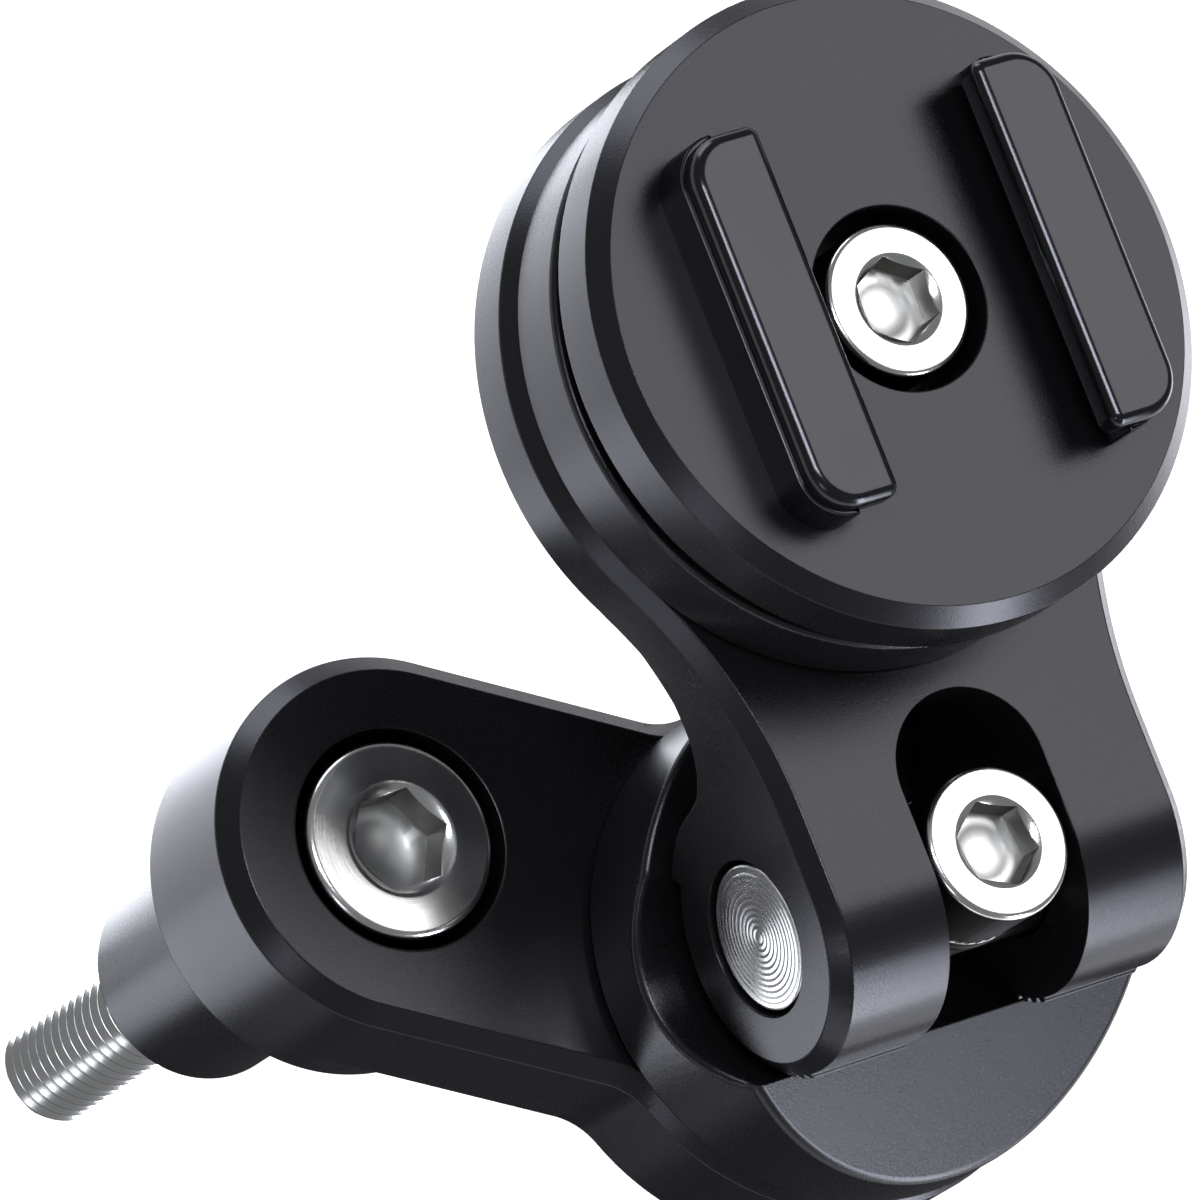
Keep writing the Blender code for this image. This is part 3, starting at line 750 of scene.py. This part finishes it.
def area_light(name, spot, aim, size, brightness, colour=(1, 1, 1)):
    """Soft box of an even brightness, where 1 is white."""
    data = bpy.data.lights.new(name, "AREA")
    data.shape = "RECTANGLE"
    data.size, data.size_y = size
    data.energy = brightness * math.pi * size[0] * size[1]
    data.color = colour
    light = bpy.data.objects.new(name, data)
    light.location = spot
    light.rotation_euler = (Vector(aim) - Vector(spot)).to_track_quat("-Z", "Y").to_euler()
    light.visible_camera = False
    bpy.context.scene.collection.objects.link(light)


def floor_panel(name, spot, size, brightness, colour):
    """Soft box lying on the floor and facing up, for the upright walls that mirror the floor."""
    area_light(name, (*spot, -0.07), (*spot, 1.0), size, brightness, colour)


def stand(name, bm, spot, finish):
    """Add a surface of the studio, with the origin of its mesh moved to a spot."""
    bmesh.ops.translate(bm, verts=bm.verts, vec=spot)
    mesh = bpy.data.meshes.new(name)
    bm.to_mesh(mesh)
    bm.free()
    mesh.materials.append(finish)
    item = bpy.data.objects.new(name, mesh)
    bpy.context.scene.collection.objects.link(item)
    return item


def square(half):
    bm = bmesh.new()
    bmesh.ops.create_grid(bm, x_segments=1, y_segments=1, size=half)
    return bm


def open_ring(radius, height):
    bm = bmesh.new()
    bmesh.ops.create_circle(bm, segments=96, radius=radius)
    grown = bmesh.ops.extrude_edge_only(bm, edges=bm.edges[:])
    risen = [v for v in grown["geom"] if isinstance(v, bmesh.types.BMVert)]
    bmesh.ops.translate(bm, verts=risen, vec=(0, 0, height))
    return bm


def build_studio():
    """Pale floor and surround, a dark card that only polished faces see, and the lights."""
    stand("floor", square(3.0), (0, 0, -0.075), pale_floor())
    card = stand("shade_card", square(0.2), (-0.02, 0.0, -0.0735), shade_cloth())
    card.visible_camera = card.visible_diffuse = card.visible_shadow = False
    backdrop = stand("backdrop", open_ring(2.9, 4.0), (0, 0, -0.08), pale_floor())
    backdrop.visible_glossy = backdrop.visible_diffuse = backdrop.visible_shadow = False

    world = bpy.data.worlds.new("studio")
    world.use_nodes = True
    background = world.node_tree.nodes["Background"].inputs
    background["Color"].default_value = (0.95, 0.97, 1.0, 1.0)
    background["Strength"].default_value = 0.2
    bpy.context.scene.world = world
    bpy.context.scene.view_settings.view_transform = "Standard"

    middle = (0.015, 0.010, 0.045)
    cool = (0.90, 0.93, 1.0)
    area_light("overhead_box", (0.33, 0.29, 0.70), middle, (0.42, 0.42), 2.9)
    for name, spot, size, brightness in (
            ("left_panel", (-0.070, 0.052), (0.070, 0.116), 2.3),
            ("pin_panel", (-0.062, -0.042), (0.075, 0.066), 3.4),
            ("upper_panel", (-0.010, 0.090), (0.064, 0.080), 4.0),
            ("thread_panel", (-0.010, 0.036), (0.046, 0.024), 4.5),
            ("low_panel", (-0.010, -0.086), (0.050, 0.040), 0.5),
            ("edge_panel", (0.360, 0.170), (0.240, 0.240), 3.5)):
        floor_panel(name, spot, size, brightness, cool)
    for name, spot, size, brightness in (
            ("rail_strip", (-0.195, -0.014, 0.605), (0.07, 0.26), 20.0),
            ("right_strip", (0.60, -0.40, 0.16), (0.16, 0.50), 13.0),
            ("back_box", (-0.28, 0.52, 0.14), (0.30, 0.30), 4.0),
            ("front_box", (-0.25, -0.46, 0.36), (0.14, 0.18), 2.5)):
        area_light(name, spot, middle, size, brightness, cool)


def build_camera():
    """A long lens close to parallel view, about 58 degrees above the arm's face."""
    data = bpy.data.cameras.new("camera")
    data.sensor_width = 36.0
    data.lens = 422.6
    data.clip_start, data.clip_end = 0.05, 20.0
    camera = bpy.data.objects.new("camera", data)
    spot = Vector((-0.32496, -0.30911, 0.79320))
    look = Vector((0.376217, 0.366577, -0.850426))
    up = Vector((-0.235134, 0.925721, 0.294965))
    back = -look.normalized()
    right = up.cross(back).normalized()
    turn = Matrix((right, back.cross(right), back)).transposed()
    camera.matrix_world = Matrix.Translation(spot) @ turn.to_4x4()
    bpy.context.scene.collection.objects.link(camera)
    bpy.context.scene.camera = camera


def main():
    build_camera()
    build_studio()
    upward, head_centre = (0, 0, 1), HEAD_PLACE.translation
    pin_axis = (PIN_PLACE.to_3x3() @ Vector((1, 0, 0)))[:]
    black = black_anodised("black_anodised_bead_blasted", 0.23, 0.012)
    smooth_black = black_anodised("black_anodised_smooth", 0.13, 0.004)
    nylon = black_nylon()
    bolt_steel = polished_steel("polished_bolt_steel", (0, 0, 0), upward, 0.004, 0.16)
    screw_steel = polished_steel("polished_screw_steel", (PIVOT_X, 0, 0), upward, 0.003, 0.14)
    head_steel = polished_steel("polished_head_screw_steel", head_centre, upward, 0.003, 0.14)
    pin_steel = polished_steel("turned_pin_steel", (PIVOT_X, 0, PIN_Z), pin_axis, 0.012, 0.20, 3.0)
    # Near-black copy of the steel for knurls, the seat washer and the pin's barrel, which sit in
    # recesses and slots: painted shade.
    recess_shade_steel = painted_shade_steel("recess_steel_painted_shade", (0.035, 0.035, 0.034), (0.060, 0.060, 0.057))
    # Socket walls get a darker copy of the steel (painted shade) and socket floors a lighter one
    # (painted highlight).
    painted_light = (painted_shade_steel("socket_wall_painted_shade", (0.13, 0.13, 0.115), (0.20, 0.20, 0.18)),
            painted_highlight_steel(), recess_shade_steel)

    bolt = build_clamp_bolt(bolt_steel)
    build_spacer(black)
    build_arm(black)
    build_base(black)
    build_pin(pin_steel, recess_shade_steel)
    # The seat washer gets the near-black steel: painted shade under the swivel screw's head.
    build_washer(recess_shade_steel)
    swivel_screw = build_small_screw("swivel_cap_screw", "swivel", "swivel_screw", screw_steel,
                                     PIN_PLACE, 25.0, SWIVEL_SEAT, 7.5)
    head_screw = build_small_screw("head_cap_screw", "bracket", "head_screw", head_steel,
                                   HEAD_PLACE, 10.0, DISC_TOP - SCREW_SINK - SCREW_HEAD_H, -3.0)
    swivel_face = (PIVOT_X, 0, PIN_Z + SWIVEL_SEAT + SCREW_HEAD_H)
    head_face = head_centre + Vector((0, 0, DISC_TOP))
    # Painted shade on socket walls and knurls, painted highlight on socket floors, on all three
    # heads.
    paint_head_shade_and_highlight(bolt, (0, 0, BOLT_SEAT + BOLT_HEAD_H), BOLT_HEAD_R, BOLT_HEAD_H, painted_light)
    paint_head_shade_and_highlight(swivel_screw, swivel_face, SCREW_HEAD_R, SCREW_HEAD_H, painted_light)
    paint_head_shade_and_highlight(head_screw, head_face, SCREW_HEAD_R, SCREW_HEAD_H, painted_light)
    build_bracket(black)
    build_index_disc(black)
    build_head_disc(black, smooth_black)

    carried = {"swivel_nut": screw_steel, "bracket_insert": head_steel, "dowel_0": head_steel,
               "dowel_1": head_steel, "thrust_ring": nylon, "friction_ring": nylon}
    for node, finish in carried.items():
        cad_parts[node].data.materials.clear()
        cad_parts[node].data.materials.append(finish)


main()
